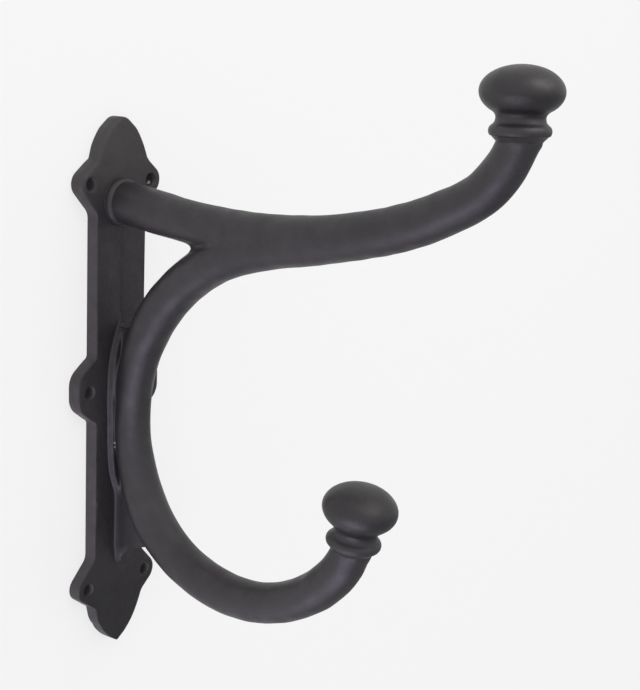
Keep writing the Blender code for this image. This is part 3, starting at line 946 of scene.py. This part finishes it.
web = {
    # (half width, height) down the foot's right side
    "footHalf": [
        (0, 35.2), (1.4, 33.4), (2.5, 30.4), (3.9, 26.9), (5.4, 22.9), (6.7, 18.4), (7.7, 13.2),
        (8.4, 7.0), (8.7, 0.0), (8.75, -7.0), (8.5, -20.0), (8.1, -32.0), (7.4, -41.0),
        (6.2, -47.0), (4.2, -52.4), (2.6, -56.4),
        (2.0, -61.0), (2.0, -75.0), (2.0, -90.0), (1.4, -94.0), (0, -96.5),
    ],
    "height": 2.8,
    "edge": 0.45,
    "draft": 1.2, "draftMost": 1.2,
    "halfWidth": 1.7,
    "webTop": 32.0,
    # (Y, Z) along the web's lower edge, in its middle and at its sides
    "keel": [
        (-5, -95.5), (-8.6, -94.2), (-12.3, -89.7), (-14.6, -87.3), (-21.5, -84.7), (-34, -80.5),
    ],
    "keelSide": [(-5, -90), (-10.1, -86.9), (-15.3, -84.2), (-23.6, -81.5), (-34, -78.0)],
    "keelMost": 1.6, "keelSlope": 0.75,
    "armOverlap": 2, "armSlope": 0.7,
    "plateOverlap": 1,
    "footBlend": 1.2,
    "plateBlend": 0.8,
    "armBlend": 1.6,
    "highArmBlend": 4.2, "highFrom": (-8, 6),
    "lowArmBlend": 4.0, "lowFrom": (-58, -74),
    "filletReach": 4.5,
    "hidden": 0.25,
    "depth": 1.5,  # how far it goes into the plate
    "lineHeights": (-96, 60), "lineReach": -60,
    "box": ((-15, -46, -104), (15, -4, 42)),
    "step": 0.6,
}


def footOutline():
    stations = [(half, height, 0) for half, height in web["footHalf"]]
    right = smoothPath(stations, (1, 0, 0), (-1, 0, 0), 3)[:, :2]
    return np.concatenate([right, right[-2:0:-1] * (-1, 1)])


footLine = footOutline()


def besideFoot():
    # The lower arm's middle line at the web, as its heights and its Y at each
    y, z, _ = lowerLine.T
    lowest, highest = web["lineHeights"]
    beside = (z < highest) & (z > lowest) & (y > web["lineReach"])
    return z[beside][::-1], y[beside][::-1]


webLineZ, webLineY = besideFoot()


def alongKeel(name, y):
    ys, zs = zip(*web[name])
    return np.interp(-y, [-v for v in ys], zs)


def webField(x, y, z):
    out = -y - plate["thickness"]
    height, depth = web["height"], web["depth"]
    foot = slabField(
        outlineField(footLine, x, z) + web["draft"] * np.clip(out / height, 0, web["draftMost"]),
        np.abs(out - height / 2 + depth) - height / 2 - depth, web["edge"],
    )
    keel, keelSide = alongKeel("keel", y), alongKeel("keelSide", y)
    share = np.clip(np.abs(x) / web["halfWidth"], 0, web["keelMost"])
    below = (keel + (keelSide - keel) * share - z) * web["keelSlope"]
    plank = np.maximum(np.abs(x) - web["halfWidth"], np.maximum(below, z - web["webTop"]))
    # The web fills the room between the foot and the arm's middle line
    lineY = np.interp(z, webLineZ, webLineY)
    plank = np.maximum(plank, (lineY + web["armOverlap"] - y) * web["armSlope"])
    plank = np.maximum(plank, y + plate["thickness"] - web["plateOverlap"])
    raw = blended(foot, plank, web["footBlend"])
    hidden = web["hidden"]
    arm = pathField(lowerLine, x, y, z) + hidden + arms["wobble"] * uneven(x, y, z)
    plain = web["armBlend"]
    armBlend = plain + (web["lowArmBlend"] - plain) * rampUp(*web["lowFrom"], z)
    armBlend = armBlend + (web["highArmBlend"] - plain) * rampUp(*web["highFrom"], z)
    field = blended(raw, arm, armBlend)
    field = blended(field, out + hidden, web["plateBlend"])
    return np.maximum(np.maximum(field, raw - web["filletReach"]), -out - depth)


finish(
    skin("armWeb", webField, *web["box"], web["step"]),
    plateIron, "arm_web", slot="plate",
)


# Ring at the root of the upper arm

ring = {
    "radius": 12.2,
    "height": 3.8,
    "edge": 2.4,
    "armBlend": 0.5,
    "plateBlend": 0.4,
    "filletReach": 2.5,
    "hidden": 0.25,
    "overlap": 1,
    "depth": 1.2,  # how far it goes into the plate
    "wobble": 0.1,
    "box": ((-17, -14, 80), (17, -5, 113)),
    "step": 0.5,
}


def ringField(x, y, z):
    out = -y - plate["thickness"]
    across = np.hypot(x, z - arms["rootHeight"])
    height, overlap, hidden = ring["height"], ring["overlap"], ring["hidden"]
    along = np.abs(out - height / 2 + overlap) - height / 2 - overlap
    raw = slabField(across - ring["radius"], along, ring["edge"])
    arm = across - arms["rootRadius"] + hidden
    field = blended(raw, arm, ring["armBlend"])
    field = blended(field, out + hidden, ring["plateBlend"]) + ring["wobble"] * uneven(x, y, z)
    return np.maximum(np.maximum(field, raw - ring["filletReach"]), -out - ring["depth"])


finish(
    skin("rootCollar", ringField, *ring["box"], ring["step"]),
    plateIron, "root_collar", slot="plate",
)


# Finials: a bead, a waisted neck and a flattened knob, one curve shared by two pieces

finial = {
    # (radius, height over the bead's middle) up the curve
    "foot": (8.5, -4.4),
    "skirt": [(9.6, -4.4), (10.05, -3.9), (10.6, -3.35), (11.2, -2.75), (11.9, -2.05)],
    "ring": 10.1,
    "beadRadius": 3.0,
    "beadAngles": (-38, 58), "beadSteps": 9,
    "neck": [(11.25, 2.95), (10.75, 3.6), (10.5, 4.4), (10.38, 5.1)],
    "upperNeck": [(10.36, 5.3), (10.45, 6.05), (10.9, 6.9), (11.7, 7.7)],
    "join": (7, 5.3),  # inner rim where the collar and the knob meet
    "knobAngles": (-42, 89), "knobSteps": 34,
    # radius, half height, and height of its middle
    "upperKnob": (17.7, 11.0, 15.9),
    "lowerKnob": (17.9, 11.4, 16.9),
    "sides": 80,
    "sharpAngle": 50,
    "wobble": 0.12,
}


def ovalPoints(across, up, centre, first, last, count, inner=0.0):
    angles = np.radians(np.linspace(first, last, count))
    return [(inner + across * math.cos(a), centre + up * math.sin(a)) for a in angles]


def smoothProfile(points, steps):
    stations = [(r, h, 0) for r, h in points]
    first = np.array(stations[1]) - np.array(stations[0])
    last = np.array(stations[-1]) - np.array(stations[-2])
    path = smoothPath(stations, first / np.hypot(*first[:2]), last / np.hypot(*last[:2]), steps)
    return [(float(r), float(h)) for r, h, _ in path]


def makeFinial(side, bead, lean):
    f = finial
    lean = math.radians(lean)
    torus = ovalPoints(
        f["beadRadius"], f["beadRadius"], 0, *f["beadAngles"], f["beadSteps"], f["ring"]
    )
    collar = smoothProfile(f["skirt"] + torus + f["neck"] + [f["upperNeck"][0]], 2)
    collar = [f["foot"]] + collar + [f["join"]]
    knob = ovalPoints(*f[side + "Knob"], *f["knobAngles"], f["knobSteps"])
    knob = [f["join"]] + smoothProfile(f["upperNeck"] + knob, 1)
    for part, profile, material, slot in (
        ("Collar", collar, armIron, "arms"), ("Knob", knob, knobIron, "knobs"),
    ):
        made = lathe(side + part, profile, bead, lean, f["sides"], f["wobble"])
        finish(made, material, f"{side}_{part.lower()}", slot=slot)


makeFinial("upper", upperBead, arms["upperLean"])
makeFinial("lower", lowerBead, arms["lowerLean"])


# Wall and floor

studio = {
    "white": (0.93, 0.935, 0.94),
    "litShare": 0.30,
    "glow": 1.0,
    "floorGrey": (0.45, 0.45, 0.46),
    "roughness": 0.9,
    "wallGap": 0.3,
    "left": -2500, "right": 2500,
    "top": 900, "floor": -620, "front": -2500,
    "cutHalfWidth": 14, "cutHalfHeight": 118,
}


def studioPaint(name, colour, glow=0, litShare=1):
    # Plain paint that is only there from its front, so the back of the hook can be seen
    material, tree = newMaterial(name)
    paint = node(tree, "ShaderNodeBsdfPrincipled")
    paint.inputs["Base Color"].default_value = (*colour, 1)
    paint.inputs["Roughness"].default_value = studio["roughness"]
    paint.inputs["Specular IOR Level"].default_value = 0.0
    surface = paint.outputs["BSDF"]
    if glow:
        # Where it is looked at, or mirrored, part of it is an even white that keeps the shadow
        even = node(tree, "ShaderNodeEmission")
        even.inputs["Color"].default_value = (glow, glow, glow, 1)
        rays = node(tree, "ShaderNodeLightPath")
        seen = calc(tree, "MAXIMUM", rays.outputs["Is Camera Ray"], rays.outputs["Is Glossy Ray"])
        seen = calc(tree, "MAXIMUM", seen, rays.outputs["Is Transmission Ray"])
        soft = node(tree, "ShaderNodeMixShader")
        tree.links.new(calc(tree, "MULTIPLY", seen, 1 - litShare), soft.inputs["Fac"])
        tree.links.new(surface, soft.inputs[1])
        tree.links.new(even.outputs["Emission"], soft.inputs[2])
        surface = soft.outputs["Shader"]
    clear = node(tree, "ShaderNodeBsdfTransparent")
    side = node(tree, "ShaderNodeNewGeometry")
    mix = node(tree, "ShaderNodeMixShader")
    output = node(tree, "ShaderNodeOutputMaterial")
    tree.links.new(side.outputs["Backfacing"], mix.inputs["Fac"])
    tree.links.new(surface, mix.inputs[1])
    tree.links.new(clear.outputs["BSDF"], mix.inputs[2])
    tree.links.new(mix.outputs["Shader"], output.inputs["Surface"])
    return material


def stagePiece(name, rows, material, skip=None):
    # A flat sheet over rows of points, with one cell left open if skip names it
    bm = bmesh.new()
    grid = [[bm.verts.new([v * mm for v in point]) for point in row] for row in rows]
    for i in range(len(rows) - 1):
        for j in range(len(rows[0]) - 1):
            if (i, j) != skip:
                bm.faces.new((grid[i][j], grid[i][j + 1], grid[i + 1][j + 1], grid[i + 1][j]))
    mesh = bpy.data.meshes.new(name)
    bm.to_mesh(mesh)
    bm.free()
    mesh.materials.append(material)
    sheet = bpy.data.objects.new(name, mesh)
    bpy.context.scene.collection.objects.link(sheet)


def makeStudio():
    s = studio
    y = s["wallGap"]
    xs = (s["left"], -s["cutHalfWidth"], s["cutHalfWidth"], s["right"])
    zs = (s["floor"], -s["cutHalfHeight"], s["cutHalfHeight"], s["top"])
    white = studioPaint("studioWhite", s["white"], s["glow"], s["litShare"])
    grey = studioPaint("studioFloor", s["floorGrey"])
    stagePiece("wall", [[(x, y, z) for x in xs] for z in zs], white, skip=(1, 1))
    ends = (s["left"], s["right"])
    stagePiece("floor", [[(x, out, s["floor"]) for x in ends] for out in (s["front"], y)], grey)


makeStudio()
print("wall and floor made")


# Light

upperPieces = ("upperKnob", "upperCollar")
lights = {
    # name: (place in mm, point it faces, size in metres, radiance, colour)
    "warmLight": ((95, -775, 870), (0, -200, 130), 0.70, 1.0, (1.0, 0.955, 0.90)),
    "knobLight": ((30, -573, 473), (0, -229, 163), 0.34, 1.7, (1.0, 0.97, 0.93)),
    "lowKnobLight": ((30, -573, 473), (0, -160, -30), 0.34, 1.0, (1.0, 0.97, 0.93)),
    "coolLight": ((-450, -260, -420), (0, -120, 0), 0.54, 2.95, (0.86, 0.81, 1.0)),
    "knobCoolLight": ((-450, -260, -420), (0, -120, 0), 0.60, 1.7, (0.92, 0.85, 1.0)),
}
lightLinks = {
    # name: (whether the listed pieces are the ones it lights or the ones it leaves out, pieces)
    "knobLight": ("INCLUDE", upperPieces),
    "lowKnobLight": ("INCLUDE", ("lowerKnob", "lowerCollar")),
    "coolLight": ("EXCLUDE", ("wall", "floor", *upperPieces)),
    "knobCoolLight": ("INCLUDE", upperPieces),
}
world = {
    "aboveLeft": (1.0, 1.0, 1.0),
    "aboveRight": (0.86, 0.86, 0.86),
    "belowLeft": (0.85, 0.85, 0.86),
    "belowRight": (0.30, 0.30, 0.31),
    "horizon": (-0.20, 0.0),
    "turn": (-0.10, 0.35),
}


def makeLights():
    for name, (place, target, size, radiance, colour) in lights.items():
        data = bpy.data.lights.new(name, "AREA")
        data.shape = "SQUARE"
        data.size = size
        data.energy = radiance * math.pi * size * size
        data.color = colour
        lamp = bpy.data.objects.new(name, data)
        lamp.location = Vector(place) * mm
        way = (Vector(place) - Vector(target)).normalized()
        lamp.rotation_euler = way.to_track_quat("Z", "Y").to_euler()
        lamp.visible_camera = False
        if name in lightLinks:
            state, pieces = lightLinks[name]
            linked = bpy.data.collections.new(name + "Links")
            for piece in pieces:
                linked.objects.link(bpy.data.objects[piece])
            for item in linked.collection_objects:
                item.light_linking.link_state = state
            lamp.light_linking.receiver_collection = linked
        bpy.context.scene.collection.objects.link(lamp)


def makeWorld():
    sky = bpy.data.worlds.new("studio")
    bpy.context.scene.world = sky
    sky.use_nodes = True
    tree = sky.node_tree
    tree.nodes.clear()
    place = node(tree, "ShaderNodeTexCoord")
    parts = node(tree, "ShaderNodeSeparateXYZ")
    tree.links.new(place.outputs["Generated"], parts.inputs["Vector"])
    height = ramp(tree, parts.outputs["Z"], *world["horizon"])
    turn = ramp(tree, parts.outputs["X"], *world["turn"])
    below = mixed(tree, turn, world["belowLeft"], world["belowRight"])
    above = mixed(tree, turn, world["aboveLeft"], world["aboveRight"])
    glow = node(tree, "ShaderNodeBackground")
    tree.links.new(mixed(tree, height, below, above), glow.inputs["Color"])
    output = node(tree, "ShaderNodeOutputWorld")
    tree.links.new(glow.outputs["Background"], output.inputs["Surface"])


makeLights()
makeWorld()
print("lights made")


# Camera, at the photograph's angle

camera = {
    "place": (-523.39, -510.95, 182.86),
    "azimuth": -54.045,
    "pitch": 12.472,
    "roll": 2.401,
    "lens": 74.69,
    "sensor": 36,
    "shift": (0.00678, 0.00781),
    "clip": (0.01, 50),
}


def makeCamera():
    data = bpy.data.cameras.new("camera")
    data.sensor_width = camera["sensor"]
    data.sensor_fit = "AUTO"
    data.lens = camera["lens"]
    data.shift_x, data.shift_y = camera["shift"]
    data.clip_start, data.clip_end = camera["clip"]
    azimuth, pitch, roll = (math.radians(camera[key]) for key in ("azimuth", "pitch", "roll"))
    back = Vector((
        math.sin(azimuth) * math.cos(pitch), -math.cos(azimuth) * math.cos(pitch), math.sin(pitch)
    ))
    right = (-back).cross(Vector((0, 0, 1))).normalized()
    up = right.cross(-back)
    turnedRight = right * math.cos(roll) + up * math.sin(roll)
    turnedUp = up * math.cos(roll) - right * math.sin(roll)
    obj = bpy.data.objects.new("camera", data)
    turn = Matrix((turnedRight, turnedUp, back)).transposed().to_4x4()
    obj.matrix_world = Matrix.Translation(Vector(camera["place"]) * mm) @ turn
    bpy.context.scene.collection.objects.link(obj)
    bpy.context.scene.camera = obj


makeCamera()
bpy.context.scene.view_settings.view_transform = "Standard"
print("camera made")
